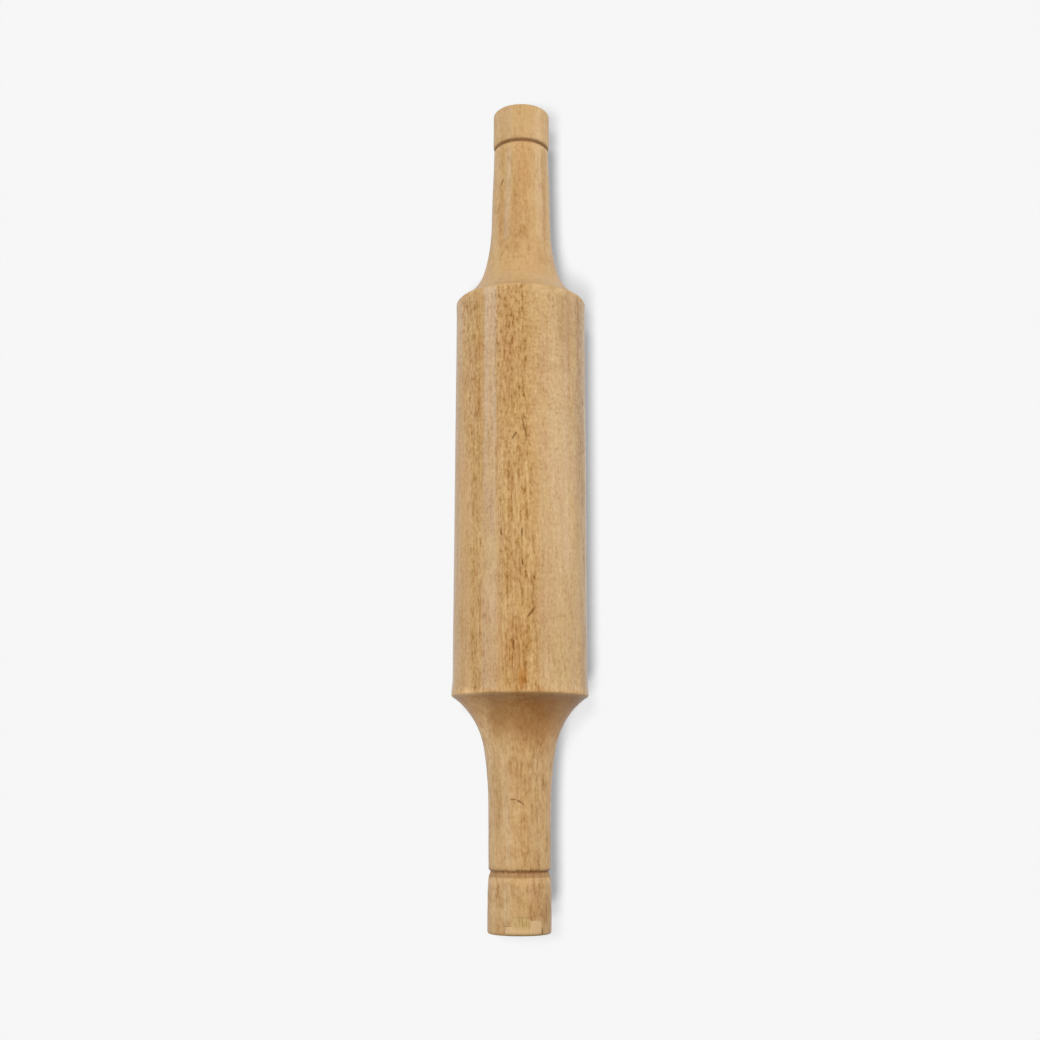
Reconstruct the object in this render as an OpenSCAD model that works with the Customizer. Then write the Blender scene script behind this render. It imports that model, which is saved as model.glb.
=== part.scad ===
// Wooden rolling pin turned between centres, with a small piece of wood let into one end.
// The turning axis lies along Y, the pin rests on its barrel at Z = 0, and all sizes are in millimetres.

/* [Barrel] */
// Diameter of the straight barrel
barrel_d = 50; // [44:0.5:58]
// Length of the barrel's straight cylinder, between its two softened edges
barrel_l = 151; // [100:0.5:260]
// Radius that softens the barrel's two edges
barrel_edge_r = 1.2; // [0.5:0.1:2.5]

/* [Front handle] */
// Length of the front handle, from the barrel's softened edge to the end face
front_handle_l = 84.6; // [78:0.1:120]
// Diameter of the front neck where it starts to swell towards the barrel
front_neck_d = 22.9; // [20:0.1:26]
// Diameter of the front neck beside its groove
front_neck_end_d = 22.4; // [20:0.1:26]
// Angle between the turning axis and the front flare, where the flare meets the barrel
front_flare_angle = 54; // [48:1:60]
// Angle at which the front neck's long swell passes into the tighter flare
front_swell_angle = 8.7; // [4:0.1:12]
// Radius of the front neck's long swell
front_swell_r = 150; // [80:1:180]
// Width of the front groove
front_groove_w = 3.6; // [2.6:0.1:5]
// Depth of the front groove below the collar
front_groove_depth = 1.1; // [0.4:0.1:2]
// Run of the front groove's gentle wall, from the collar to the groove's bottom
front_groove_run = 2.3; // [1:0.1:2.5]

/* [Front collar] */
// Length of the front collar, from the groove to the end face
front_collar_l = 19.2; // [14:0.1:24]
// Diameter of the front collar's straight part
front_collar_d = 23; // [20:0.1:26]
// Diameter of the front collar beside its groove
front_collar_groove_d = 22.5; // [20:0.1:26]
// Length over which the front collar eases down to its groove
front_collar_ease_l = 5; // [1:0.1:10]

/* [Back handle] */
// Length of the back handle, from the barrel's softened edge to the end face
back_handle_l = 81.3; // [70:0.1:120]
// Diameter of the back neck where it starts to swell towards the barrel
back_neck_d = 23.2; // [20:0.1:26]
// Diameter of the back neck beside its groove
back_neck_end_d = 21.6; // [19:0.1:26]
// Angle between the turning axis and the back flare, where the flare meets the barrel
back_flare_angle = 60; // [50:1:66]
// Angle at which the back neck's long swell passes into the tighter flare
back_swell_angle = 14.4; // [8:0.1:16]
// Radius of the back neck's long swell
back_swell_r = 83; // [60:1:110]
// Width of the back groove
back_groove_w = 1.8; // [1.3:0.1:4]
// Depth of the back groove below the collar
back_groove_depth = 0.9; // [0.3:0.1:2]
// Run of the back groove's wall, from the collar to the groove's bottom
back_groove_run = 0.9; // [0.4:0.1:1.2]

/* [Back collar] */
// Length of the back collar, from the groove to the end face
back_collar_l = 14.4; // [10:0.1:24]
// Diameter of the back collar's straight part
back_collar_d = 22.1; // [19:0.1:26]
// Diameter of the back collar beside its groove
back_collar_groove_d = 21.9; // [19:0.1:26]
// Length over which the back collar eases down to its groove
back_collar_ease_l = 1; // [0.5:0.1:8]

/* [End faces] */
// Radius that softens the rim of both end faces
rim_r = 0.8; // [0.3:0.1:1.5]
// Diameter of the small cone that the lathe centre leaves in each end face
centre_mark_d = 3; // [1:0.1:5]
// Depth of the lathe centre's cone
centre_mark_depth = 1.3; // [0.5:0.1:3]

/* [End patch] */
// Width of the let-in patch, across the grain
patch_w = 12.8; // [8:0.1:14]
// Length of the let-in patch, along the grain from the front end face
patch_l = 5.6; // [3:0.1:12]
// Thickness of the patch under the crown of the collar
patch_depth = 4.6; // [4:0.1:6]
// Distance from the turning axis to the middle of the patch, sideways
patch_offset = 1.4; // [0:0.1:1.5]
// Glue line between the patch and its pocket
glue_gap = 0.08; // [0.04:0.01:0.15]
// Joint that has opened along one side of the patch
open_joint = 0.35; // [0.15:0.05:0.6]

/* [Hidden] */

barrel_r = barrel_d / 2;
total_l = front_handle_l + barrel_l + back_handle_l;
front_y = -total_l / 2;
axis_z = barrel_r;
step_angle = 3;
spare = 1;
round_steps = 120;

// Points on an arc about a centre, from one angle to another, with both ends
function arc(centre, r, from, to) =
    let (n = max(2, ceil(abs(to - from) / step_angle)))
    [for (i = [0 : n]) centre + r * [cos(from + (to - from) * i / n), sin(from + (to - from) * i / n)]];

// Outline of one handle as [radius, distance from the end face], from the centre of the end face to the
// barrel's straight cylinder. It runs over the rim, the collar, the groove, the neck, the long swell,
// the tighter flare and the barrel's softened edge. Each arc starts in the direction where the last ended.
function handle_outline(
    handle_l, collar_l, collar_r, collar_groove_r, collar_ease_l, groove_w, groove_depth, groove_run,
    neck_end_r, neck_r, swell_r, swell_a, flare_a
) =
    let (
        swell_rise = swell_r * (1 - cos(swell_a)),
        edge_drop = barrel_edge_r * (1 - cos(flare_a)),
        flare_rise = barrel_r - edge_drop - neck_r - swell_rise,
        flare_r = flare_rise / (cos(swell_a) - cos(flare_a)),
        edge_start = handle_l - barrel_edge_r * sin(flare_a),
        flare_start = edge_start - flare_r * (sin(flare_a) - sin(swell_a)),
        swell_start = flare_start - swell_r * sin(swell_a),
        flare_centre_y = edge_start - flare_r * sin(flare_a),
        groove_bottom_r = min(collar_groove_r, neck_end_r) - groove_depth
    )
    concat(
        [[0, 0]],
        arc([collar_r - rim_r, rim_r], rim_r, -90, 0),
        [[collar_r, collar_l - collar_ease_l]],
        [[collar_groove_r, collar_l]],
        [[groove_bottom_r, collar_l + groove_run]],
        [[neck_end_r, collar_l + groove_w]],
        arc([neck_r + swell_r, swell_start], swell_r, 180, 180 - swell_a),
        arc([barrel_r - edge_drop + flare_r * cos(flare_a), flare_centre_y], flare_r,
            180 - swell_a - step_angle, 180 - flare_a),
        arc([barrel_r - barrel_edge_r, handle_l], barrel_edge_r, step_angle - flare_a, 0)
    );

function front_outline() = handle_outline(
    handle_l = front_handle_l,
    collar_l = front_collar_l,
    collar_r = front_collar_d / 2,
    collar_groove_r = front_collar_groove_d / 2,
    collar_ease_l = front_collar_ease_l,
    groove_w = front_groove_w,
    groove_depth = front_groove_depth,
    groove_run = front_groove_run,
    neck_end_r = front_neck_end_d / 2,
    neck_r = front_neck_d / 2,
    swell_r = front_swell_r,
    swell_a = front_swell_angle,
    flare_a = front_flare_angle
);

function back_outline() = handle_outline(
    handle_l = back_handle_l,
    collar_l = back_collar_l,
    collar_r = back_collar_d / 2,
    collar_groove_r = back_collar_groove_d / 2,
    collar_ease_l = back_collar_ease_l,
    groove_w = back_groove_w,
    groove_depth = back_groove_depth,
    groove_run = back_groove_run,
    neck_end_r = back_neck_end_d / 2,
    neck_r = back_neck_d / 2,
    swell_r = back_swell_r,
    swell_a = back_swell_angle,
    flare_a = back_flare_angle
);

// The whole pin's outline, as [radius, distance from the front end face]
function pin_outline() =
    let (back = back_outline())
    concat(front_outline(), [for (i = [len(back) - 1 : -1 : 0]) [back[i][0], total_l - back[i][1]]]);

// Turns what is drawn about Z so that it lies along the pin's axis, with Z = 0 at the front end face
module on_pin_axis() {
    translate([0, front_y, axis_z])
        rotate([-90, 0, 0])
            children();
}

module turned_blank() {
    on_pin_axis()
        rotate_extrude($fn = round_steps)
            polygon(pin_outline());
}

// The patch's block, with its flat floor and square inner end. It reaches past the crown and the end face.
module patch_block(side_gap, far_side_gap, floor_gap) {
    crown = front_collar_d / 2;
    low = crown - patch_depth - floor_gap;
    translate([patch_offset - patch_w / 2 - side_gap, front_y - spare, axis_z + low])
        cube([patch_w + side_gap + far_side_gap, patch_l + floor_gap + spare, crown - low + spare]);
}

module centre_mark() {
    translate([0, 0, -centre_mark_depth])
        cylinder(h = 2 * centre_mark_depth, r1 = centre_mark_d, r2 = 0, $fn = round_steps);
}

module turned_pin() {
    color("burlywood")
        difference() {
            turned_blank();
            patch_block(glue_gap, open_joint, glue_gap);
            on_pin_axis()
                centre_mark();
            on_pin_axis()
                translate([0, 0, total_l])
                    mirror([0, 0, 1])
                        centre_mark();
        }
}

module end_patch() {
    color("wheat")
        intersection() {
            turned_blank();
            patch_block(0, 0, 0);
        }
}

turned_pin();
end_patch();
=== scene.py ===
"""Wooden rolling pin lying on its barrel, seen from above.

The turning axis runs along Y through the middle of the barrel, and the front handle points to -Y.
Sizes of the pin are in millimetres. Distances along the axis are counted from the front end face,
and heights from the turning axis. They become metres in the row frame when a mesh is made.
"""

import math

import bmesh
import bpy
import numpy as np
from mathutils import Matrix, Vector

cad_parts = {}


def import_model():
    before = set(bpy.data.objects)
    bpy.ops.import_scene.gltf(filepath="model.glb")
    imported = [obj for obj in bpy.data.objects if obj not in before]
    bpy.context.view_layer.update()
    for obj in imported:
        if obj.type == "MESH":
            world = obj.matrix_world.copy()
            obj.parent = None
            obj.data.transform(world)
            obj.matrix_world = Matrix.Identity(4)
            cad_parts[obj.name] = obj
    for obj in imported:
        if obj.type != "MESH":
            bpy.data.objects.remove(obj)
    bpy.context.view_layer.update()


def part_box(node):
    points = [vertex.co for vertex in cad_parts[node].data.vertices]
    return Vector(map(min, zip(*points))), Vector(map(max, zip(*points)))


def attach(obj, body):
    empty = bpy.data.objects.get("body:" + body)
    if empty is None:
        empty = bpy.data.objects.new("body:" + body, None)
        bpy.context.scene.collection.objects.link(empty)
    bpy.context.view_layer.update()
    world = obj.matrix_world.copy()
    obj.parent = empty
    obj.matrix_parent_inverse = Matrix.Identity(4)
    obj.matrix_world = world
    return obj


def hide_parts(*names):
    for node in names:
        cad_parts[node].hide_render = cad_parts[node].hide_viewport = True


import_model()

MM = 0.001

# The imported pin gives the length, the barrel's radius and the height of the turning axis
PIN_LOW, PIN_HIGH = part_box("turned_pin")
TOTAL_L = (PIN_HIGH.y - PIN_LOW.y) / MM
FRONT_Y = PIN_LOW.y / MM
BARREL_R = (PIN_HIGH.x - PIN_LOW.x) / 2 / MM
AXIS_Z = BARREL_R

# Sizes of the turned outline, in millimetres and degrees, as in the part's source. Only the front
# groove is a little tighter here.
EDGE_R = 1.2
RIM_R = 0.8
FRONT_HANDLE = dict(
    handle_l=84.6, collar_l=19.2, collar_r=11.5, collar_groove_r=11.25, collar_ease_l=5.0,
    groove_w=3.1, groove_depth=0.8, groove_run=2.3, neck_end_r=11.2, neck_r=11.45,
    swell_r=150.0, swell_a=8.7, flare_a=54.0,
)
BACK_HANDLE = dict(
    handle_l=81.3, collar_l=14.4, collar_r=11.05, collar_groove_r=10.95, collar_ease_l=1.0,
    groove_w=1.8, groove_depth=0.9, groove_run=0.9, neck_end_r=10.8, neck_r=11.6,
    swell_r=83.0, swell_a=14.4, flare_a=60.0,
)
BARREL_START = FRONT_HANDLE["handle_l"]
BARREL_END = TOTAL_L - BACK_HANDLE["handle_l"]
FRONT_GROOVE = FRONT_HANDLE["collar_l"]
BACK_GROOVE = TOTAL_L - BACK_HANDLE["collar_l"] - BACK_HANDLE["groove_w"]
CENTRE_MARK_R = 1.5
CENTRE_MARK_DEPTH = 1.3

# The let-in patch, in millimetres: its sides, its floor above the turning axis, where its open joint
# closes and where that is widest along the pin, how far its block reaches past the end, and its gaps
PATCH_LEFT = -5.0
PATCH_RIGHT = 7.8
PATCH_FLOOR = 6.9
PATCH_JOINT_CLOSED = 3.6
PATCH_JOINT_OPEN = 2.4
PAST_END = 2.0
GLUE_GAP = 0.08
OPEN_JOINT = 0.35

# What hand turning and wear leave on the surface, in millimetres
FRONT_LIP = 0.34
BACK_LIP = 0.12
FRONT_GROOVE_TEAR = 0.16
BACK_GROOVE_TEAR = 0.09

# Fineness of the mesh: columns round the pin, the longest stretch between rings in millimetres, and the
# steps of the outline's arcs in degrees
COLUMNS = 320
LONGEST_STRETCH = 1.6
RIM_STEP = 15
SWELL_STEP = 0.5
FLARE_STEP = 1.5
EDGE_STEP = 9


def smooth_step(low, high, values):
    t = np.clip((values - low) / (high - low), 0, 1)
    return t * t * (3 - 2 * t)


def rough(values, seed, size):
    """Smooth seeded noise from -1 to 1 along a list of values, with bumps about size long."""
    rng = np.random.default_rng(seed)
    low, high = float(np.min(values)), float(np.max(values))
    heights = rng.uniform(-1, 1, int((high - low) / size) + 3)
    place = (np.asarray(values) - low) / size
    index = np.floor(place).astype(int)
    part = smooth_step(0, 1, place - index)
    return heights[index] * (1 - part) + heights[index + 1] * part


def ring_noise(angles, along, seed, turns, size):
    """Seeded noise from -1 to 1 that closes on itself: turns bumps round the pin, each size long."""
    rng = np.random.default_rng(seed)
    grid = rng.uniform(-1, 1, (int(np.ptp(along) / size) + 3, turns))
    across = angles / (2 * math.pi) * turns
    a0 = np.floor(across).astype(int)
    fa = smooth_step(0, 1, across - a0)
    down = (along - np.min(along)) / size
    d0 = np.floor(down).astype(int)
    fd = smooth_step(0, 1, down - d0)[:, None]
    left, right = a0[None, :] % turns, (a0[None, :] + 1) % turns
    near = grid[d0[:, None], left] * (1 - fa) + grid[d0[:, None], right] * fa
    far = grid[d0[:, None] + 1, left] * (1 - fa) + grid[d0[:, None] + 1, right] * fa
    return near * (1 - fd) + far * fd


def arc(centre, radius, start, stop, step):
    """Points [radius, distance] on an arc about a centre, with both ends."""
    count = max(2, math.ceil(abs(stop - start) / step))
    angles = np.radians(np.linspace(start, stop, count + 1))
    return [(centre[0] + radius * math.cos(a), centre[1] + radius * math.sin(a)) for a in angles]


def handle_outline(
    handle_l, collar_l, collar_r, collar_groove_r, collar_ease_l, groove_w, groove_depth, groove_run,
    neck_end_r, neck_r, swell_r, swell_a, flare_a
):
    """One handle's outline as [radius, distance from its end face], from the rim to the barrel."""
    cos_s, sin_s = math.cos(math.radians(swell_a)), math.sin(math.radians(swell_a))
    cos_f, sin_f = math.cos(math.radians(flare_a)), math.sin(math.radians(flare_a))
    edge_drop = EDGE_R * (1 - cos_f)
    flare_r = (BARREL_R - edge_drop - neck_r - swell_r * (1 - cos_s)) / (cos_s - cos_f)
    edge_start = handle_l - EDGE_R * sin_f
    swell_start = edge_start - flare_r * (sin_f - sin_s) - swell_r * sin_s
    flare_centre = (BARREL_R - edge_drop + flare_r * cos_f, edge_start - flare_r * sin_f)
    bottom_r = min(collar_groove_r, neck_end_r) - groove_depth
    soft = 0.25
    worn = 0.08
    crown = 0.02
    half_flat = 0.1
    bottom = collar_l + groove_run
    points = arc((collar_r - RIM_R, RIM_R), RIM_R, -90, 0, RIM_STEP)
    points += [(collar_r, collar_l - collar_ease_l)]
    points += [(collar_groove_r + crown, collar_l - soft), (collar_groove_r - worn, collar_l)]
    points += [(bottom_r, bottom - half_flat), (bottom_r, bottom + half_flat)]
    points += [(neck_end_r - worn, collar_l + groove_w), (neck_end_r, collar_l + groove_w + soft)]
    points += arc((neck_r + swell_r, swell_start), swell_r, 180, 180 - swell_a, SWELL_STEP)
    points += arc(flare_centre, flare_r, 180 - swell_a - FLARE_STEP, 180 - flare_a, FLARE_STEP)
    points += arc((BARREL_R - EDGE_R, handle_l), EDGE_R, EDGE_STEP - flare_a, 0, EDGE_STEP)
    return points


def pin_outline():
    """The whole outline from rim to rim, with no two points further apart than the longest stretch."""
    front = handle_outline(**FRONT_HANDLE)
    back = [(r, TOTAL_L - s) for r, s in reversed(handle_outline(**BACK_HANDLE))]
    corners = front + back
    dense = [corners[0]]
    for (r0, s0), (r1, s1) in zip(corners, corners[1:]):
        count = max(1, math.ceil(math.hypot(r1 - r0, s1 - s0) / LONGEST_STRETCH))
        for i in range(1, count + 1):
            dense.append((r0 + (r1 - r0) * i / count, s0 + (s1 - s0) * i / count))
    return np.array(dense)


def groove_noise(angles, along, start, width, amount, seed):
    """Torn fibres along a groove's two edges."""
    reach, inside = 0.6, 0.2
    near = smooth_step(start - reach, start + inside, along)
    near *= smooth_step(start + width + reach, start + width - inside, along)
    return amount * near[:, None] * ring_noise(angles, along, seed, turns=90, size=0.8)


def barrel_lips(angles, along):
    """The proud edges at the barrel's two ends, worn away where the pin rests on them."""
    front = FRONT_LIP * smooth_step(BARREL_START + 6.0, BARREL_START + 0.6, along)
    front *= smooth_step(BARREL_START - 1.4, BARREL_START - 0.3, along)
    back = BACK_LIP * smooth_step(BARREL_END - 5.0, BARREL_END - 0.6, along)
    back *= smooth_step(BARREL_END + 1.2, BARREL_END + 0.3, along)
    not_resting = smooth_step(-0.98, -0.8, np.cos(angles))
    return (front + back)[:, None] * not_resting


def surface_radii(outline, angles):
    """Radius at each outline point and angle, with the unevenness of a surface turned by hand."""
    radius, along = outline[:, 0], outline[:, 1]
    on_barrel = smooth_step(BARREL_START - 2, BARREL_START + 3, along)
    on_barrel *= smooth_step(BARREL_END + 2, BARREL_END - 3, along)
    wander = 0.05 * rough(along, seed=11, size=14.0) + 0.03 * rough(along, seed=12, size=5.0)
    rows = radius + wander * (1 - 0.6 * on_barrel)
    table = rows[:, None] + barrel_lips(angles, along)
    table += 0.035 * ring_noise(angles, along, seed=21, turns=7, size=24.0)
    table += 0.015 * ring_noise(angles, along, seed=22, turns=40, size=6.0)
    table += groove_noise(angles, along, FRONT_GROOVE, FRONT_HANDLE["groove_w"], FRONT_GROOVE_TEAR, seed=31)
    table += groove_noise(angles, along, BACK_GROOVE, BACK_HANDLE["groove_w"], BACK_GROOVE_TEAR, seed=32)
    return table


def mesh_object(name, vertices, faces):
    mesh = bpy.data.meshes.new(name)
    mesh.from_pydata([tuple(v) for v in vertices], [], faces)
    mesh.update()
    piece = bpy.data.objects.new(name, mesh)
    bpy.context.scene.collection.objects.link(piece)
    return piece


def in_frame(x, along, height):
    """A point of the pin in millimetres as a point of the row frame in metres."""
    return (x * MM, (FRONT_Y + along) * MM, (AXIS_Z + height) * MM)


def turned_body(name):
    """The turned surface as one closed mesh, with a lathe centre's cone in each end face."""
    outline = pin_outline()
    angles = np.arange(COLUMNS) / COLUMNS * 2 * math.pi
    table = surface_radii(outline, angles)
    full = np.full(COLUMNS, CENTRE_MARK_R)
    face_shares = [0.2, 0.38, 0.55, 0.72, 0.88]
    rings = [(full * 0.5, CENTRE_MARK_DEPTH / 2), (full, 0.0)]
    rings += [(full + (table[0] - full) * share, 0.0) for share in face_shares]
    rings += list(zip(table, outline[:, 1]))
    rings += [(full + (table[-1] - full) * share, TOTAL_L) for share in reversed(face_shares)]
    rings += [(full, TOTAL_L), (full * 0.5, TOTAL_L - CENTRE_MARK_DEPTH / 2)]
    vertices = [in_frame(0, CENTRE_MARK_DEPTH, 0)]
    for radii, along in rings:
        across, up = radii * np.sin(angles), radii * np.cos(angles)
        vertices += list(zip(*in_frame(across, np.full(COLUMNS, along), up)))
    vertices.append(in_frame(0, TOTAL_L - CENTRE_MARK_DEPTH, 0))
    last = len(vertices) - 1
    pairs = [(j, (j + 1) % COLUMNS) for j in range(COLUMNS)]
    faces = [(0, 1 + k, 1 + j) for j, k in pairs]
    for i in range(len(rings) - 1):
        base = 1 + i * COLUMNS
        faces += [(base + j, base + k, base + COLUMNS + k, base + COLUMNS + j) for j, k in pairs]
    base = last - COLUMNS
    faces += [(base + j, base + k, last) for j, k in pairs]
    return mesh_object(name, vertices, faces)


def ragged_end(left, right, gap):
    """The patch's inner edge, torn in three steps, as points [x, distance from the end face]."""
    steps = [(left, 3.2), (-2.6, 3.3), (-2.3, 6.1), (0.2, 6.4), (1.0, 5.7), (2.1, 6.3), (3.7, 5.9)]
    steps += [(4.1, 5.1), (6.0, 5.4), (right, 5.2)]
    return [(x, s + gap) for x, s in steps]


def prism_shell(outline, low, high, first=0):
    """Vertices and faces of a closed prism over points [x, distance], between two heights above the axis.

    first is the number of the prism's first vertex, where it shares a mesh with others.
    """
    count = len(outline)
    vertices = [in_frame(x, s, height) for height in (low, high) for x, s in outline]
    floor_face = tuple(range(first, first + count))
    roof_face = tuple(range(first + 2 * count - 1, first + count - 1, -1))
    faces = [floor_face, roof_face]
    for i in range(count):
        j = (i + 1) % count
        faces.append((first + i, first + i + count, first + j + count, first + j))
    return vertices, faces


def prism(name, outline, low, high):
    piece = mesh_object(name, *prism_shell(outline, low, high))
    fix_normals(piece)
    return piece


def fix_normals(piece):
    work = bmesh.new()
    work.from_mesh(piece.data)
    bmesh.ops.recalc_face_normals(work, faces=work.faces)
    work.to_mesh(piece.data)
    work.free()


def cut(piece, cutter, operation):
    """Applies an exact boolean to a piece and deletes the cutter."""
    modifier = piece.modifiers.new("cut", "BOOLEAN")
    modifier.operation = operation
    modifier.solver = "EXACT"
    modifier.object = cutter
    bpy.context.view_layer.update()
    evaluated = piece.evaluated_get(bpy.context.evaluated_depsgraph_get())
    result = bpy.data.meshes.new_from_object(evaluated)
    if len(result.polygons) < 10:
        raise ValueError("nothing is left of " + piece.name + " after the cut")
    piece.modifiers.clear()
    piece.data = result
    bpy.data.objects.remove(cutter)


def patch_prism(name, side_gap, open_gap, floor_gap):
    """The patch's block. With gaps it is the pocket, and its right joint opens towards the end face."""
    left, right = PATCH_LEFT - side_gap, PATCH_RIGHT + side_gap
    opened = PATCH_RIGHT + open_gap
    outline = [(left, -PAST_END)] + ragged_end(left, right, floor_gap)
    outline += [(right, PATCH_JOINT_CLOSED), (opened, PATCH_JOINT_OPEN), (opened, -PAST_END)]
    return prism(name, outline, PATCH_FLOOR - floor_gap, BARREL_R)


def blades(name):
    """Thin closed wedges that cut the cracks and scratches into the pin's upper side.

    No two of them may overlap, because the exact boolean would then empty the pin.
    """
    outline = pin_outline()
    lens = [(0.0, -1.0), (0.7, -0.5), (1.0, 0.05), (0.6, 0.6)]
    lens += [(0.0, 1.0), (-0.8, 0.5), (-0.9, -0.1), (-0.5, -0.6)]
    above = 1.0
    vertices, faces = [], []
    for x, along, half_w, half_l, turn, depth in MARKS:
        radius = float(np.interp(along, outline[:, 1], outline[:, 0]))
        surface = math.sqrt(radius ** 2 - x ** 2)
        cos_t, sin_t = math.cos(math.radians(turn)), math.sin(math.radians(turn))
        points = []
        for a, d in lens:
            shift_x = a * half_w * cos_t + d * half_l * sin_t
            shift_s = d * half_l * cos_t - a * half_w * sin_t
            points.append((x + shift_x, along + shift_s))
        more_vertices, more_faces = prism_shell(points, surface - depth, surface + above, len(vertices))
        vertices += more_vertices
        faces += more_faces
    piece = mesh_object(name, vertices, faces)
    fix_normals(piece)
    return piece


def soften(piece, angle=35):
    """Smooth shading, apart from edges sharper than an angle in degrees."""
    piece.data.polygons.foreach_set("use_smooth", [True] * len(piece.data.polygons))
    piece.data.set_sharp_from_angle(angle=math.radians(angle))


class Nodes:
    """A new material's node tree, with short calls for the nodes that the woods and the floor use."""

    def __init__(self, name):
        self.material = bpy.data.materials.new(name)
        self.material.use_nodes = True
        self.tree = self.material.node_tree
        self.tree.nodes.clear()

    def add(self, kind, inputs=None, **settings):
        node = self.tree.nodes.new(kind)
        for key, value in settings.items():
            setattr(node, key, value)
        for key, value in (inputs or {}).items():
            self.feed(node.inputs[key], value)
        return node

    def feed(self, socket, value):
        if isinstance(value, bpy.types.NodeSocket):
            self.tree.links.new(value, socket)
        else:
            socket.default_value = value

    def math(self, operation, a, b=0.0):
        return self.add("ShaderNodeMath", {0: a, 1: b}, operation=operation).outputs[0]

    def total(self, *values):
        result = values[0]
        for value in values[1:]:
            result = self.math("ADD", result, value)
        return result

    def product(self, *values):
        result = values[0]
        for value in values[1:]:
            result = self.math("MULTIPLY", result, value)
        return result

    def fade(self, value, start, stop, low=0.0, high=1.0):
        """Goes smoothly from low to high while value goes from start to stop."""
        inputs = {"Value": value, "From Min": start, "From Max": stop, "To Min": low, "To Max": high}
        return self.add("ShaderNodeMapRange", inputs, interpolation_type="SMOOTHSTEP").outputs[0]

    def vector(self, x, y, z):
        return self.add("ShaderNodeCombineXYZ", {0: x, 1: y, 2: z}).outputs[0]

    def noise(self, vector, detail=2.0, roughness=0.5):
        inputs = {"Vector": vector, "Scale": 1.0, "Detail": detail, "Roughness": roughness}
        return self.add("ShaderNodeTexNoise", inputs).outputs[0]

    def ramp(self, value, stops):
        node = self.add("ShaderNodeValToRGB", {0: value})
        elements = node.color_ramp.elements
        while len(elements) < len(stops):
            elements.new(0.5)
        for element, (place, colour) in zip(elements, stops):
            element.position = place
            element.color = colour if len(colour) == 4 else (*colour, 1.0)
        return node.outputs[0]

    def mix(self, factor, a, b, blend="MIX"):
        node = self.add("ShaderNodeMix", data_type="RGBA", blend_type=blend)
        self.feed(node.inputs[0], factor)
        self.feed(node.inputs[6], a)
        self.feed(node.inputs[7], b)
        return node.outputs[2]


def srgb(red, green, blue):
    """A colour given as 0 to 255 sRGB, in linear values for a socket."""
    values = [v / 255 for v in (red, green, blue)]
    return tuple(v / 12.92 if v <= 0.04045 else ((v + 0.055) / 1.055) ** 2.4 for v in values) + (1.0,)


# Sideways lean of the fibres, per millimetre along the pin
FIBRE_LEAN = 0.03


def wood_place(nodes):
    """Sockets for a point of the pin: x, distance along and height above the axis, in millimetres."""
    place = nodes.add("ShaderNodeTexCoord").outputs["Object"]
    parts = nodes.add("ShaderNodeSeparateXYZ", {0: place})
    x = nodes.math("MULTIPLY", parts.outputs[0], 1 / MM)
    along = nodes.math("ADD", nodes.math("MULTIPLY", parts.outputs[1], 1 / MM), -FRONT_Y)
    height = nodes.math("ADD", nodes.math("MULTIPLY", parts.outputs[2], 1 / MM), -AXIS_Z)
    return x, along, height


def from_axis(nodes, place):
    """Distance from the turning axis."""
    x, height = place[0], place[2]
    return nodes.math("SQRT", nodes.total(nodes.product(x, x), nodes.product(height, height)))


def stretched(nodes, place, width, length):
    """A place for a noise whose bumps are width across the pin and length along it."""
    x, along, height = place
    across, down = 1 / width, 1 / length
    return nodes.vector(nodes.product(x, across), nodes.product(along, down), nodes.product(height, across))


def grain(nodes, place, width, length, detail=2.0, roughness=0.5):
    """Noise around zero, in fibres that lean like the real ones. width and length are in millimetres."""
    x, along, height = place
    leaned = nodes.total(x, nodes.product(along, FIBRE_LEAN))
    at = stretched(nodes, (leaned, along, height), width, length)
    return nodes.math("SUBTRACT", nodes.noise(at, detail, roughness), 0.5)


def growth(nodes, place):
    """Distance across the growth rings in millimetres, 0 at the top of the barrel."""
    x, along, height = place
    pith_x, pith_height, lean = -95.0, 5.0, 0.033
    wave_width, wave_length, wave_height = 14, 45, 6.0
    wave_at = stretched(nodes, place, wave_width, wave_length)
    wave = nodes.math("SUBTRACT", nodes.noise(wave_at, detail=3), 0.5)
    wave = nodes.math("MULTIPLY", wave, wave_height)
    dx = nodes.math("SUBTRACT", x, pith_x)
    dz = nodes.math("SUBTRACT", height, pith_height)
    reach = nodes.math("SQRT", nodes.total(nodes.product(dx, dx), nodes.product(dz, dz)))
    middle = math.hypot(pith_x, BARREL_R - pith_height)
    slant = nodes.product(nodes.math("SUBTRACT", along, 150), lean)
    return nodes.total(reach, -middle, slant, wave)


def band(nodes, value, start, stop, soft):
    """1 where value lies between start and stop, with soft edges."""
    rise = nodes.fade(value, start - soft, start + soft)
    fall = nodes.fade(value, stop - soft, stop + soft, 1.0, 0.0)
    return nodes.product(rise, fall)


def spot(nodes, place, wobble, mark, soft=0.5, rough_edge=1.6):
    """1 inside an uneven spot on the pin's upper side.

    mark is its x, distance along, half width, half length, and turn in degrees.
    """
    x, along, half_w, half_l, turn = mark
    cos_t, sin_t = math.cos(math.radians(turn)), math.sin(math.radians(turn))
    dx = nodes.math("SUBTRACT", place[0], x)
    dy = nodes.math("SUBTRACT", place[1], along)
    across = nodes.math("SUBTRACT", nodes.product(dx, cos_t / half_w), nodes.product(dy, sin_t / half_w))
    down = nodes.total(nodes.product(dx, sin_t / half_l), nodes.product(dy, cos_t / half_l))
    far = nodes.math("SQRT", nodes.total(nodes.product(across, across), nodes.product(down, down)))
    far = nodes.total(far, nodes.product(wobble, rough_edge))
    return nodes.product(nodes.fade(far, 1 + soft, 1 - soft), nodes.fade(place[2], 0.0, 4.0))


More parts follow.
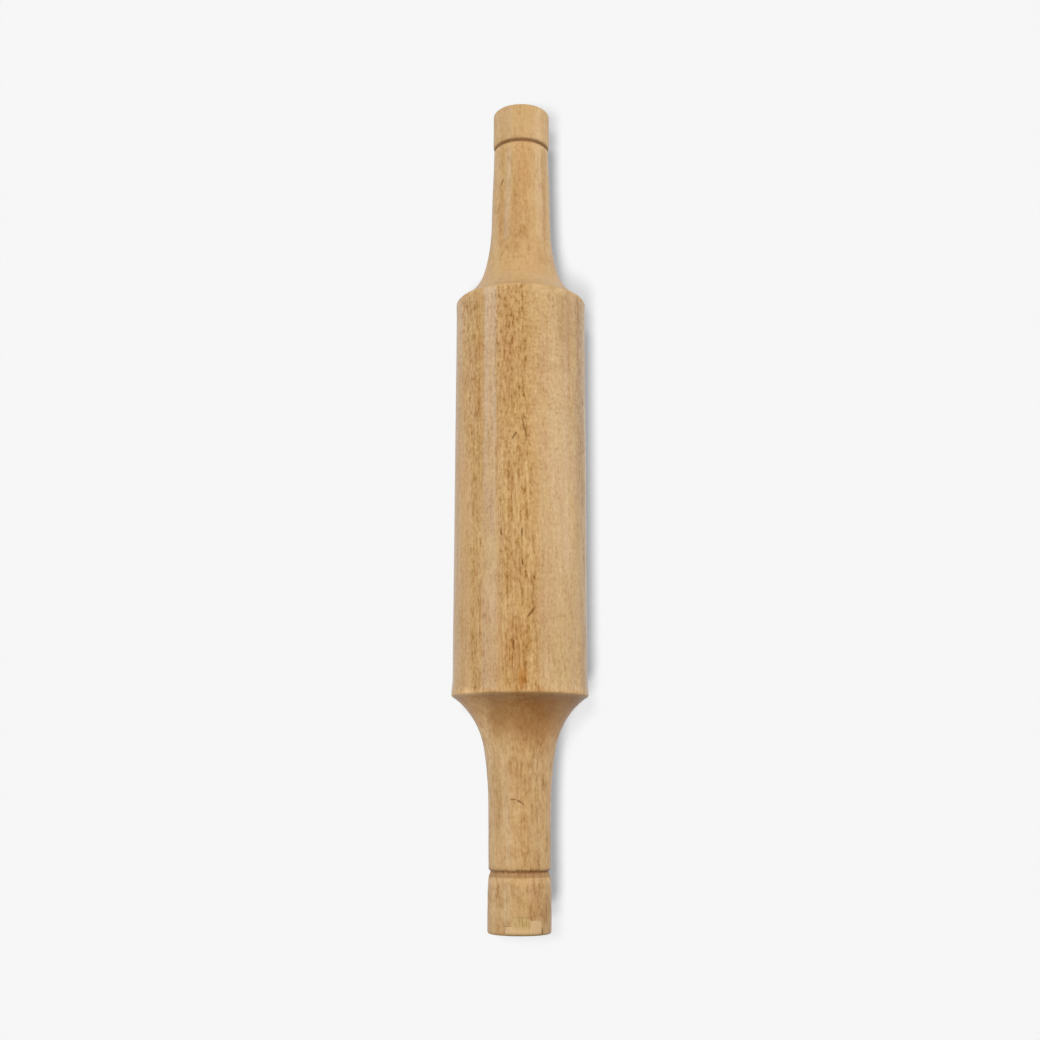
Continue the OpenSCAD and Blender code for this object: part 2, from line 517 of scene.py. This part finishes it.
# Stains on the upper side, with painted light and shade among them: x, distance, half width, half length,
# turn, then tint and strength. The pale lifts along flanks and edges are painted light and painted
# highlights, and the darker tints on the right half of the front flare are painted shade
STAINS_AND_PAINTED_LIGHT = [
    # Front collar, with painted light on its left flank
    ((0.0, 17.5, 3.0, 8.0, 0), (0.95, 0.95, 0.96), 0.8),
    ((9.4, 8.5, 1.4, 6.0, 0), (0.80, 0.68, 0.58), 0.7),
    ((5.4, 9.5, 2.2, 5.5, 0), (0.90, 0.82, 0.75), 0.9),
    ((-9.0, 9.0, 2.0, 9.0, 0), (1.05, 1.06, 1.08), 0.9),
    # Front neck, with painted light along both flanks
    ((-7.4, 43.0, 1.2, 9.0, 0), (0.86, 0.83, 0.80), 0.7),
    ((4.6, 34.0, 1.8, 14.0, 0), (0.93, 0.90, 0.85), 0.8),
    ((0.0, 51.0, 2.2, 3.0, 0), (0.93, 0.92, 0.90), 0.8),
    ((-8.6, 42.0, 4.0, 34.0, 0), (1.06, 1.10, 1.17), 0.9),
    ((9.8, 40.0, 2.0, 34.0, 0), (1.10, 1.11, 1.08), 0.9),
    # Front flare: painted light on both flanks and painted shade on its right half
    ((-13.5, 76.0, 2.6, 7.0, 0), (1.07, 1.12, 1.18), 0.9),
    ((5.5, 74.0, 7.5, 9.0, 0), (0.88, 0.81, 0.75), 0.9),
    ((9.0, 80.0, 5.0, 5.0, 0), (0.92, 0.87, 0.80), 0.8),
    ((-6.0, 68.0, 5.0, 6.0, 0), (1.06, 1.11, 1.17), 0.8),
    ((-8.0, 77.0, 3.0, 8.0, 0), (0.92, 0.88, 0.86), 0.9),
    ((-19.0, 76.5, 7.0, 7.5, 0), (1.34, 1.42, 1.58), 0.9),
    ((-12.6, 68.0, 2.4, 7.0, 0), (1.12, 1.20, 1.32), 0.9),
    ((-11.0, 69.0, 2.6, 5.0, 0), (1.08, 1.11, 1.15), 0.9),
    ((6.0, 82.0, 5.0, 3.0, 0), (0.97, 0.92, 0.82), 0.9),
    ((20.5, 80.5, 2.2, 4.0, 0), (0.91, 0.84, 0.76), 0.9),
    ((-19.5, 82.0, 3.0, 3.0, 0), (1.10, 1.11, 1.09), 0.9),
    ((18.5, 79.0, 6.0, 9.0, 0), (1.08, 1.10, 1.16), 0.8),
    ((12.6, 69.0, 2.4, 7.0, 0), (1.11, 1.13, 1.18), 0.8),
    # Barrel, towards the front: stains, painted light on the flanks and painted shade at the right edge
    ((-1.0, 97.0, 4.5, 15.0, 0), (0.87, 0.77, 0.64), 0.8),
    ((21.6, 96.0, 1.6, 12.0, 0), (1.16, 1.16, 1.16), 0.9),
    ((-16.5, 128.0, 1.8, 18.0, 0), (1.07, 1.10, 1.11), 0.9),
    ((5.0, 123.0, 1.2, 6.0, 0), (1.04, 1.08, 1.14), 0.9),
    ((8.5, 112.0, 4.0, 28.0, 0), (0.95, 0.95, 0.98), 0.9),
    ((0.8, 89.0, 1.6, 3.4, 0), (0.90, 0.70, 0.46), 0.8),
    ((-11.0, 90.0, 5.0, 7.0, 0), (0.94, 0.92, 0.86), 0.9),
    ((-11.0, 104.0, 4.0, 14.0, 0), (0.98, 0.93, 0.90), 0.8),
    ((24.0, 96.0, 2.5, 17.0, 0), (0.80, 0.75, 0.71), 0.8),
    # Barrel, middle: stains, painted sheen on the right flank, and painted light and a painted highlight on
    # the left
    ((21.6, 185.0, 1.4, 48.0, 0), (0.92, 0.91, 0.96), 0.9),
    ((19.0, 146.0, 1.3, 12.0, 0), (1.07, 1.07, 1.10), 0.9),
    ((14.0, 180.0, 3.5, 50.0, 0), (1.01, 1.03, 1.08), 0.9),
    ((-9.3, 192.0, 0.5, 8.0, 3), (0.86, 0.88, 0.90), 0.8),
    ((-7.1, 162.0, 0.5, 7.0, 0), (0.88, 0.86, 0.82), 0.8),
    ((-15.4, 192.0, 1.0, 5.0, 0), (0.93, 0.86, 0.78), 0.8),
    ((-20.5, 172.0, 2.6, 34.0, 0), (1.07, 1.07, 1.05), 0.9),
    ((-7.2, 150.0, 1.1, 30.0, 0), (1.07, 1.12, 1.22), 0.8),
    ((16.0, 165.0, 5.0, 42.0, 0), (1.06, 1.09, 1.16), 0.9),
    ((8.0, 176.0, 2.5, 6.0, 20), (0.97, 0.91, 0.98), 0.5),
    # Barrel, towards the back: stains, and painted light on the left flank
    ((-15.4, 213.0, 1.6, 5.0, 0), (0.95, 0.88, 0.80), 0.8),
    ((-0.6, 224.0, 0.45, 3.0, 0), (0.78, 0.70, 0.60), 0.8),
    ((-22.0, 222.0, 2.4, 14.0, 0), (1.10, 1.14, 1.18), 0.9),
    ((-1.5, 208.0, 4.5, 20.0, 0), (0.94, 0.93, 0.91), 0.8),
    ((17.5, 205.0, 1.2, 26.0, 0), (0.93, 0.90, 0.92), 0.8),
    ((-4.5, 212.0, 2.4, 22.0, 0), (0.96, 0.90, 0.88), 0.8),
    ((16.5, 222.0, 2.8, 17.0, 0), (0.87, 0.81, 0.77), 0.9),
    ((8.5, 205.0, 2.5, 14.0, 0), (0.95, 0.91, 0.94), 0.7),
    # Back handle: stains, painted light on the left flank and a painted highlight on the right edge
    ((1.0, 262.0, 2.0, 3.5, 0), (0.88, 0.80, 0.70), 0.6),
    ((-2.2, 256.0, 1.3, 3.0, 0), (0.86, 0.76, 0.66), 0.5),
    ((-2.6, 272.0, 1.7, 12.0, 0), (0.95, 0.91, 0.86), 0.9),
    ((-8.0, 272.0, 0.9, 14.0, 0), (0.95, 0.88, 0.80), 0.9),
    ((-10.0, 282.0, 1.8, 26.0, 0), (1.12, 1.18, 1.26), 0.9),
    ((0.6, 288.0, 2.6, 16.0, 0), (0.97, 0.90, 0.84), 0.8),
    ((9.3, 278.0, 0.5, 22.0, 0), (0.88, 0.77, 0.68), 0.8),
    ((10.6, 280.0, 1.4, 28.0, 0), (1.14, 1.23, 1.30), 0.9),
    ((6.0, 282.0, 2.0, 24.0, 0), (1.03, 1.05, 1.07), 0.9),
    # Back collar: painted light on both flanks
    ((8.0, 310.0, 3.0, 9.0, 0), (1.10, 1.12, 1.18), 0.9),
    ((-9.5, 310.0, 3.0, 9.0, 0), (1.06, 1.09, 1.14), 0.9),
]

# Cracks, nicks and scratches: x, distance, half width, half length, turn in degrees and depth
MARKS = [
    (-7.4, 284.4, 0.25, 1.4, 24, 0.3),
    (1.5, 180.0, 0.22, 4.6, -15, 0.4),
    (-2.3, 177.2, 0.30, 1.7, 32, 0.5),
    (4.1, 112.5, 0.42, 2.7, 36, 0.3),
    (0.55, 141.0, 0.30, 1.8, 4, 0.5),
    (0.82, 130.2, 0.30, 1.3, -3, 0.4),
    (-2.3, 101.4, 0.30, 1.2, 2, 0.4),
    (-2.5, 46.9, 0.28, 1.2, -84, 0.4),
    (0.25, 45.9, 0.40, 1.4, -56, 0.5),
]

# Colours of the wood's figure, from its darkest pores to its palest parts
TONES = [
    (0.00, srgb(128, 82, 34)), (0.22, srgb(168, 122, 66)), (0.50, srgb(195, 153, 99)),
    (0.76, srgb(209, 170, 116)), (1.00, srgb(224, 190, 140)),
]
PATCH_TONES = [
    (0.0, srgb(124, 92, 48)), (0.25, srgb(154, 123, 70)), (0.45, srgb(186, 155, 100)),
    (0.65, srgb(207, 174, 126)), (1.0, srgb(222, 194, 152)),
]
MIDDLE_TONE = 0.575
PATCH_TONE = 0.69

# Tints that multiply the wood's colour. The front-face tint lifts the end face out of the painted rim shade
# and a little over, the sheen tint is painted sheen, and the groove-shade and patch-rim tints are painted
# shade
FRONT_FACE_TINT = (1.50, 1.55, 1.60)
ROSY_TINT = (1.0, 0.96, 1.02)
YELLOW_TINT = (1.0, 1.02, 0.92)
RIGHT_SHEEN_TINT = (1.03, 1.09, 1.2)
RING_LINE_TINT = (0.72, 0.62, 0.52)
CRACK_TINT = (0.55, 0.42, 0.30)
GROOVE_WALL_TINT = (0.75, 0.68, 0.67)
GROOVE_SHADE_TINT = (0.50, 0.38, 0.28)
PATCH_SIDE_TINT = (1.03, 0.99, 1.02)
PATCH_RIM_SHADE_TINT = (0.86, 0.92, 1.06)

# Painted light and shade along the pin, from the front end face to the back one, as distance and tint:
# painted shade on the front rim and the front flare, and painted highlights beside the front groove, on the
# barrel's two lips, on the back flare, along the back handle and below the back groove
PAINTED_LIGHT_ALONG = [
    (0.0, (0.72, 0.68, 0.64)), (1.3, (0.93, 0.95, 1.03)), (16.3, (0.96, 0.98, 1.07)),
    (17.6, (1.04, 1.06, 1.14)), (18.8, (1.11, 1.15, 1.26)), (19.6, (1.11, 1.15, 1.26)),
    (19.9, (0.98, 1.0, 1.05)), (60.0, (0.97, 0.98, 1.04)), (66.0, (0.94, 0.92, 0.94)),
    (72.0, (0.84, 0.76, 0.70)), (83.4, (0.71, 0.60, 0.50)), (84.1, (1.10, 1.11, 1.14)),
    (85.5, (1.08, 1.10, 1.14)), (87.0, (1.0, 1.0, 1.0)), (232.5, (1.0, 1.0, 1.0)),
    (234.5, (1.05, 1.08, 1.12)), (237.0, (1.14, 1.20, 1.34)), (250.0, (1.06, 1.09, 1.18)),
    (262.0, (1.01, 1.02, 1.06)), (292.0, (1.02, 1.05, 1.12)), (300.2, (1.09, 1.13, 1.22)),
    (303.5, (1.04, 1.10, 1.24)),
]


def busy_bands(nodes, rings, along, on_barrel):
    """1 where the growth rings show many dark pores, 0 in the plain wood between."""
    heart = band(nodes, rings, -7.6, 4.6, soft=0.9)
    outer = band(nodes, rings, -21.5, -14.0, soft=1.2)
    outer = nodes.product(outer, nodes.fade(along, 130, 200, low=0.55, high=1.05))
    edge = nodes.product(band(nodes, rings, 21.0, 40.0, soft=0.8), 0.5)
    busy = nodes.math("MAXIMUM", nodes.math("MAXIMUM", heart, outer), edge)
    return nodes.product(busy, nodes.fade(on_barrel, 0, 1, low=0.35, high=1.0))


def pore_figure(nodes, place, busy, curly):
    """Short dark pores, longer dashes and fine lines, strongest in the busy bands."""
    along = place[1]
    pores = nodes.math("MINIMUM", grain(nodes, place, width=0.88, length=2.3, roughness=0.6), 0.10)
    dashes = nodes.math("MINIMUM", grain(nodes, place, width=1.05, length=5.5), 0.12)
    lines = grain(nodes, place, width=1.0, length=22.0, roughness=0.6)
    lines = nodes.product(lines, nodes.fade(curly, 0, 1, low=0.85, high=0.3))
    figure = nodes.total(nodes.product(pores, 1.15), nodes.product(dashes, 0.75), lines)
    towards_back = nodes.fade(along, 175, 205, low=1.0, high=1.16)
    towards_front = nodes.fade(along, 115, 95, low=1.0, high=1.16)
    lively = nodes.math("MAXIMUM", towards_back, towards_front)
    return nodes.product(figure, nodes.fade(busy, 0, 1, low=0.42, high=1.0), lively)


def small_figure(nodes, place, busy, curly, on_barrel):
    """Dust, flecks in the plain wood, and curl across the grain."""
    plain = nodes.math("SUBTRACT", 1.0, busy)
    dust = grain(nodes, place, width=0.5, length=1.1, detail=1.0)
    fleck = grain(nodes, place, width=1.0, length=1.3, roughness=0.65)
    fleck = nodes.product(fleck, nodes.fade(plain, 0, 1, low=0.2, high=0.45))
    curl = grain(nodes, place, width=4.0, length=1.2, roughness=0.6)
    curl = nodes.product(curl, nodes.fade(curly, 0, 1, low=0.15, high=0.4))
    small = nodes.total(nodes.product(dust, 0.42), fleck, curl)
    return nodes.product(small, nodes.fade(on_barrel, 0, 1, low=0.7, high=1.0))


def wood_tone(nodes, place, busy, flank, on_barrel):
    """The figure of the wood from 0, dark, to 1, pale."""
    along = place[1]
    curly = nodes.fade(along, 140, 200)
    figure = pore_figure(nodes, place, busy, curly)
    small = small_figure(nodes, place, busy, curly, on_barrel)
    mottle = grain(nodes, place, width=2.6, length=5.0, detail=3.0, roughness=0.6)
    mottle = nodes.product(mottle, nodes.fade(on_barrel, 0, 1, low=0.62, high=0.14))
    clouds = nodes.product(grain(nodes, place, width=5.0, length=11.0), 0.28)
    figure = nodes.total(figure, small, mottle, clouds)
    calm_handle = nodes.fade(along, 234, 238, low=1.0, high=0.75)
    calm_collar = nodes.fade(along, 298, 304, low=1.0, high=0.55)
    calm = nodes.math("MINIMUM", calm_handle, calm_collar)
    figure = nodes.product(figure, nodes.fade(flank, 0, 1, low=1.0, high=0.6), calm)
    return nodes.total(MIDDLE_TONE, figure, nodes.product(busy, -0.07))


def groove_masks(nodes, place):
    """Masks of the two grooves' stained walls, and of the painted shade along their bottoms."""
    x, along = place[:2]
    front_walls = band(nodes, along, FRONT_GROOVE + 0.5, FRONT_GROOVE + 2.9, soft=0.15)
    back_walls = band(nodes, along, BACK_GROOVE + 0.1, BACK_GROOVE + 1.7, soft=0.15)
    torn = grain(nodes, place, width=1.4, length=40.0, detail=3.0, roughness=0.6)
    torn = nodes.fade(torn, -0.15, 0.12, low=0.35, high=1.0)
    front_groove_shade = band(nodes, along, FRONT_GROOVE + 2.05, FRONT_GROOVE + 3.5, soft=0.25)
    front_groove_shade = nodes.product(front_groove_shade, nodes.fade(x, -11, 9, low=0.6, high=1.0), torn)
    back_groove_shade = band(nodes, along, BACK_GROOVE + 0.3, BACK_GROOVE + 1.5, soft=0.3)
    back_groove_shade = nodes.product(back_groove_shade, 0.6)
    walls = nodes.math("MAXIMUM", front_walls, back_walls)
    return walls, nodes.math("MAXIMUM", front_groove_shade, back_groove_shade)


def tinted(nodes, mask, strength, colour, tint):
    """The colour multiplied by a tint where the mask is 1."""
    return nodes.mix(nodes.product(mask, strength), colour, (*tint, 1.0), "MULTIPLY")


def ring_line(nodes, place, rings, on_barrel):
    """The dark lines along the borders of two growth bands."""
    thin = grain(nodes, place, width=1.0, length=5.0)
    edge_line = band(nodes, rings, 21.0, 23.5, soft=0.6)
    edge_line = nodes.product(edge_line, nodes.fade(place[1], 120, 165, low=0.2, high=1.0))
    line = nodes.math("MAXIMUM", band(nodes, rings, -8.2, -7.6, soft=0.35), edge_line)
    return nodes.product(line, nodes.fade(thin, -0.12, 0.08), on_barrel)


def wood_colour(nodes, place, tone, rings, on_barrel):
    """The wood's colour: stains, marks and stained groove walls, with painted light and shade on top."""
    along = place[1]
    colour = nodes.ramp(tone, TONES)
    # Painted light and shade along the pin: shade on the front rim and flare, highlights on lips and edges
    painted_light = nodes.ramp(nodes.product(along, 1 / TOTAL_L), [(at / TOTAL_L, tint) for at, tint in PAINTED_LIGHT_ALONG])
    colour = nodes.mix(1.0, colour, painted_light, "MULTIPLY")
    # Inside the rim, the end face is lifted back out of the painted rim shade and painted a little lighter
    inside_rim = nodes.fade(from_axis(nodes, place), 10.9, 10.1)
    front_face = nodes.product(inside_rim, nodes.fade(along, 1.3, 0.3))
    colour = tinted(nodes, front_face, 1.0, colour, FRONT_FACE_TINT)
    hue = grain(nodes, place, width=8.0, length=16.0, detail=3.0)
    colour = tinted(nodes, nodes.fade(hue, 0.0, 0.16), 0.5, colour, ROSY_TINT)
    colour = tinted(nodes, nodes.fade(hue, 0.0, -0.16), 0.5, colour, YELLOW_TINT)
    # Painted sheen: a pale bluish lift over the wood to the right of the heart band
    right_sheen = nodes.product(nodes.fade(rings, 4.0, 8.5), on_barrel)
    colour = tinted(nodes, right_sheen, 1.0, colour, RIGHT_SHEEN_TINT)
    colour = tinted(nodes, ring_line(nodes, place, rings, on_barrel), 0.6, colour, RING_LINE_TINT)
    wobble = grain(nodes, place, width=1.6, length=3.2, detail=3.0, roughness=0.6)
    # Stains, and painted side light, highlights and flare shade, all from the same list
    for mark, tint, strength in STAINS_AND_PAINTED_LIGHT:
        colour = tinted(nodes, spot(nodes, place, wobble, mark), strength, colour, tint)
    for mark in MARKS:
        cracked = spot(nodes, place, wobble, mark[:5], soft=0.35, rough_edge=0.6)
        colour = tinted(nodes, cracked, 0.65, colour, CRACK_TINT)
    # walls holds the stained groove walls; lines holds the painted shade at the grooves' bottoms
    walls, lines = groove_masks(nodes, place)
    colour = tinted(nodes, walls, 0.9, colour, GROOVE_WALL_TINT)
    return tinted(nodes, lines, 1.0, colour, GROOVE_SHADE_TINT)


def varnish(nodes, place, tone, flank, on_barrel):
    """How much varnish shows: most on the barrel, less on the back collar, none in the grooves."""
    walls = groove_masks(nodes, place)[0]
    bare = nodes.math("MAXIMUM", nodes.product(flank, 0.35), walls)
    varnished = nodes.math("SUBTRACT", 1.0, bare)
    handle_coat = nodes.fade(place[1], 296, 304, low=0.7, high=0.25)
    coat = nodes.product(varnished, nodes.math("MAXIMUM", handle_coat, on_barrel))
    brushed = grain(nodes, place, width=1.2, length=40.0, roughness=0.6)
    brushed = nodes.fade(brushed, -0.12, 0.12, low=0.55, high=1.1)
    return nodes.product(coat, nodes.fade(tone, 0.2, 0.55, low=0.62, high=0.85), brushed)


def finished(nodes, tone, inputs):
    """Ends a wood's node tree with a fine bump and the shader, and gives back the material."""
    bump = nodes.add("ShaderNodeBump", {"Strength": 0.3, "Distance": 0.0001, "Height": tone})
    shader = nodes.add("ShaderNodeBsdfPrincipled", {**inputs, "Normal": bump.outputs[0]})
    nodes.add("ShaderNodeOutputMaterial", {0: shader.outputs[0]})
    return nodes.material


def wood(name):
    """The pin's wood: golden, with bands full of short dark pores, under a satin varnish."""
    nodes = Nodes(name)
    place = wood_place(nodes)
    along = place[1]
    rings = growth(nodes, place)
    facing = nodes.add("ShaderNodeNewGeometry").outputs["Normal"]
    axial = nodes.math("ABSOLUTE", nodes.add("ShaderNodeSeparateXYZ", {0: facing}).outputs[1])
    flank = nodes.fade(axial, 0.12, 0.5)
    on_barrel = band(nodes, along, BARREL_START, BARREL_END, soft=1.5)
    busy = busy_bands(nodes, rings, along, on_barrel)
    tone = wood_tone(nodes, place, busy, flank, on_barrel)
    return finished(nodes, tone, {
        "Base Color": wood_colour(nodes, place, tone, rings, on_barrel),
        "Roughness": nodes.fade(tone, 0.2, 0.7, low=0.64, high=0.54),
        "Specular IOR Level": 0.2,
        "Coat Weight": varnish(nodes, place, tone, flank, on_barrel),
        "Coat Roughness": 0.13,
    })


def patch_wood(name):
    """The patch's paler wood, unvarnished, with a streaked olive middle and painted shade on its front rim.
    """
    nodes = Nodes(name)
    place = wood_place(nodes)
    x, along = place[:2]
    fibres = grain(nodes, place, width=0.7, length=4.0, detail=3.0, roughness=0.6)
    middle = nodes.product(band(nodes, x, -2.4, 4.0, soft=0.7), nodes.fade(along, 1.2, 4.2))
    streaks = nodes.product(fibres, nodes.fade(middle, 0, 1, low=0.45, high=1.0))
    outer_ring = nodes.fade(from_axis(nodes, place), 10.2, 10.9)
    # Painted shade on the patch's rounded front rim, in its tone and in a tint
    rim = nodes.product(nodes.fade(along, 1.5, 0.0), outer_ring)
    tone = nodes.total(PATCH_TONE, streaks, nodes.product(middle, -0.21), nodes.product(rim, -0.4))
    colour = nodes.ramp(tone, PATCH_TONES)
    colour = tinted(nodes, nodes.fade(middle, 1, 0), 1.0, colour, PATCH_SIDE_TINT)
    colour = tinted(nodes, rim, 0.9, colour, PATCH_RIM_SHADE_TINT)
    return finished(nodes, tone, {"Base Color": colour, "Roughness": 0.62, "Specular IOR Level": 0.25})


def camera():
    """The photograph's camera, solved from the outline, the grooves and the rims."""
    place = Vector((-0.13, -110.52, 529.37)) * MM
    target = Vector((-0.13, -7.71, 25.0)) * MM
    roll = 0.00224
    forward = (target - place).normalized()
    right = forward.cross(Vector((0, 0, 1))).normalized()
    up = right.cross(forward)
    leaned_right = right * math.cos(roll) + up * math.sin(roll)
    leaned_up = up * math.cos(roll) - right * math.sin(roll)
    data = bpy.data.cameras.new("camera")
    data.sensor_width = 36.0
    data.lens = 46.95
    data.clip_start = 0.01
    data.clip_end = 20.0
    shot = bpy.data.objects.new("camera", data)
    axes = Matrix((leaned_right, leaned_up, -forward)).transposed().to_4x4()
    shot.matrix_world = Matrix.Translation(place) @ axes
    bpy.context.scene.collection.objects.link(shot)
    bpy.context.scene.camera = shot


# Glints on the varnish: name, turn, width of the turn, lean, width of the lean, radiance and colour
GLINTS = [
    ("left_gloss", -27.4, 11, 25, 25, 2.4, (0.34, 0.78, 1.25)),
    ("left_mid_gloss", -26.8, 13, 7, 11, 1.0, (0.2, 0.85, 1.4)),
    ("left_low_gloss", -27, 26, 6, 13, 0.55, (0.6, 0.9, 1.1)),
    ("left_front_gloss", -24, 14, -5, 9, 1.5, (0.5, 0.95, 1.1)),
    ("right_veil", 28, 23, 8, 46, 0.54, (1, 1, 1)),
    ("right_rim", 43, 4, 11, 44, 1.38, (1, 1, 1)),
    ("right_back_gloss", 37, 14, 30, 13, 2.2, (1, 1, 1)),
]


def light_only(lamp, receivers):
    """Lets a lamp light only these pieces."""
    group = bpy.data.collections.new(lamp.name)
    for piece in receivers:
        group.objects.link(piece)
    lamp.light_linking.receiver_collection = group


def soft_light(name, receivers, right, back, width, share):
    """A distant round soft light. right and back tilt it from overhead and width is its size, in degrees.

    share is the part of a white level face's full brightness that it gives.
    """
    data = bpy.data.lights.new(name, "SUN")
    aim = Vector((math.tan(math.radians(right)), math.tan(math.radians(back)), 1)).normalized()
    data.energy = share * math.pi / aim.z
    data.angle = math.radians(width)
    lamp = bpy.data.objects.new(name, data)
    lamp.rotation_euler = aim.to_track_quat("Z", "Y").to_euler()
    lamp.location = aim
    lamp.visible_glossy = False
    bpy.context.scene.collection.objects.link(lamp)
    light_only(lamp, receivers)


def panel(name, receivers, aim, distance, size_x, size_y, power):
    """A rectangular lamp in a direction from the pin, with two sides along the pin."""
    data = bpy.data.lights.new(name, "AREA")
    data.shape = "RECTANGLE"
    data.size = size_x
    data.size_y = size_y
    data.energy = power
    lamp = bpy.data.objects.new(name, data)
    along = (Vector((0, 1, 0)) - aim * aim.y).normalized()
    turn = Matrix((along.cross(aim), along, aim)).transposed().to_4x4()
    lamp.matrix_world = Matrix.Translation(aim * distance) @ turn
    lamp.visible_camera = False
    bpy.context.scene.collection.objects.link(lamp)
    light_only(lamp, receivers)
    return lamp


def panel_light(name, receivers, right, back, distance, size_x, size_y, share):
    """A near soft box that only shows in the shading. right, back and share are as in a soft light."""
    aim = Vector((math.tan(math.radians(right)), math.tan(math.radians(back)), 1)).normalized()
    power = share * math.pi ** 2 * distance ** 2 / aim.z
    panel(name, receivers, aim, distance, size_x, size_y, power).visible_glossy = False


def gloss_panel(name, receivers, turn, turn_width, lean, lean_width, radiance, colour):
    """A soft box that only shows as a reflection in the varnish.

    It shows where the surface faces turn degrees to the right of up, over turn_width degrees, to an eye
    that looks from lean degrees towards the front.
    """
    distance = 3.0
    around, tilt = math.radians(2 * turn), math.radians(lean)
    aim = Vector((math.cos(tilt) * math.sin(around), math.sin(tilt), math.cos(tilt) * math.cos(around)))
    size_x = 2 * distance * math.tan(math.radians(turn_width))
    size_y = 2 * distance * math.tan(math.radians(lean_width / 2))
    lamp = panel(name, receivers, aim, distance, size_x, size_y, radiance * math.pi * size_x * size_y)
    lamp.data.color = colour
    lamp.visible_diffuse = False


def studio(pieces, ground):
    """Three overhead lamps make the floor's shadow. The others shape the pin, or only glint on it."""
    soft_light("back_key", [ground], right=-8.4, back=7, width=10, share=0.14)
    soft_light("middle_key", [ground], right=-8.4, back=-12, width=10, share=0.18)
    soft_light("front_key", [ground], right=-8.4, back=-26, width=10, share=0.28)

    panel_light("key", pieces, right=-8.4, back=9, distance=3, size_x=0.45, size_y=0.6, share=0.40)
    soft_light("left_box", pieces, right=-52, back=0, width=50, share=0.29)
    soft_light("right_box", pieces, right=56, back=10, width=46, share=0.21)
    panel_light("right_panel", pieces, right=66, back=35, distance=0.6, size_x=0.3, size_y=0.3, share=0.07)
    soft_light("back_box", pieces, right=0, back=50, width=50, share=0.06)

    for name, turn, turn_width, lean, lean_width, radiance, colour in GLINTS:
        gloss_panel(name, pieces, turn, turn_width, lean, lean_width, radiance, colour)


def world(share, backdrop):
    """Even light from all round, with the pale backdrop for what the camera sees."""
    sky = bpy.data.worlds.new("world")
    sky.use_nodes = True
    tree = sky.node_tree
    tree.nodes.clear()
    path = tree.nodes.new("ShaderNodeLightPath")
    light = tree.nodes.new("ShaderNodeBackground")
    light.inputs[1].default_value = share
    seen = tree.nodes.new("ShaderNodeBackground")
    seen.inputs[0].default_value = backdrop
    mix = tree.nodes.new("ShaderNodeMixShader")
    out = tree.nodes.new("ShaderNodeOutputWorld")
    tree.links.new(path.outputs["Is Camera Ray"], mix.inputs[0])
    tree.links.new(light.outputs[0], mix.inputs[1])
    tree.links.new(seen.outputs[0], mix.inputs[2])
    tree.links.new(mix.outputs[0], out.inputs[0])
    bpy.context.scene.world = sky


BACKDROP = srgb(246, 246, 246)
WORLD_LIGHT = 0.07
# The part of the floor's brightness that its lamps give, how bright reflections show it, how much light
# it throws back on the pin, and half its width in metres
FLOOR_LIGHT = 0.65
FLOOR_GLOSS = 0.7
FLOOR_BOUNCE = (0.45, 0.45, 0.45, 1.0)
FLOOR_HALF = 6.0


def floor():
    """The pale floor. To the camera and in reflections, a glow stands in for the lamps that skip it."""
    half = FLOOR_HALF
    corners = [(-half, -half, 0), (half, -half, 0), (half, half, 0), (-half, half, 0)]
    ground = mesh_object("floor", corners, [(0, 1, 2, 3)])
    nodes = Nodes("floor_paper")
    path = nodes.add("ShaderNodeLightPath")
    reflected = nodes.product(path.outputs["Is Glossy Ray"], FLOOR_GLOSS)
    seen = nodes.math("MAXIMUM", path.outputs["Is Camera Ray"], reflected)
    glow = nodes.add("ShaderNodeEmission", {0: BACKDROP})
    nodes.feed(glow.inputs[1], nodes.product(seen, 1 - FLOOR_LIGHT))
    bounce = nodes.mix(seen, FLOOR_BOUNCE, BACKDROP)
    paper = nodes.add("ShaderNodeBsdfDiffuse", {0: bounce})
    both = nodes.add("ShaderNodeAddShader", {0: glow.outputs[0], 1: paper.outputs[0]})
    nodes.add("ShaderNodeOutputMaterial", {0: both.outputs[0]})
    ground.data.materials.append(nodes.material)
    return ground


def twin(piece, name):
    """A second piece with the same mesh, as its own copy."""
    other = piece.copy()
    other.data = piece.data.copy()
    other.name = name
    bpy.context.scene.collection.objects.link(other)
    return other


camera()

pin = turned_body("pin_body")
patch = twin(pin, "patch_body")
cut(pin, patch_prism("pocket", GLUE_GAP, OPEN_JOINT, GLUE_GAP), "DIFFERENCE")
cut(patch, patch_prism("block", 0.0, 0.0, 0.0), "INTERSECT")
cut(pin, blades("blades"), "DIFFERENCE")
for piece in (pin, patch):
    soften(piece)
    piece.visible_diffuse = False
pin.data.materials.append(wood("pin_wood"))
patch.data.materials.append(patch_wood("patch_wood"))

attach(pin, "root")
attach(patch, "root")
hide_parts("turned_pin")
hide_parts("end_patch")

world(WORLD_LIGHT, BACKDROP)
studio([pin, patch], floor())

bpy.context.scene.view_settings.view_transform = "Standard"
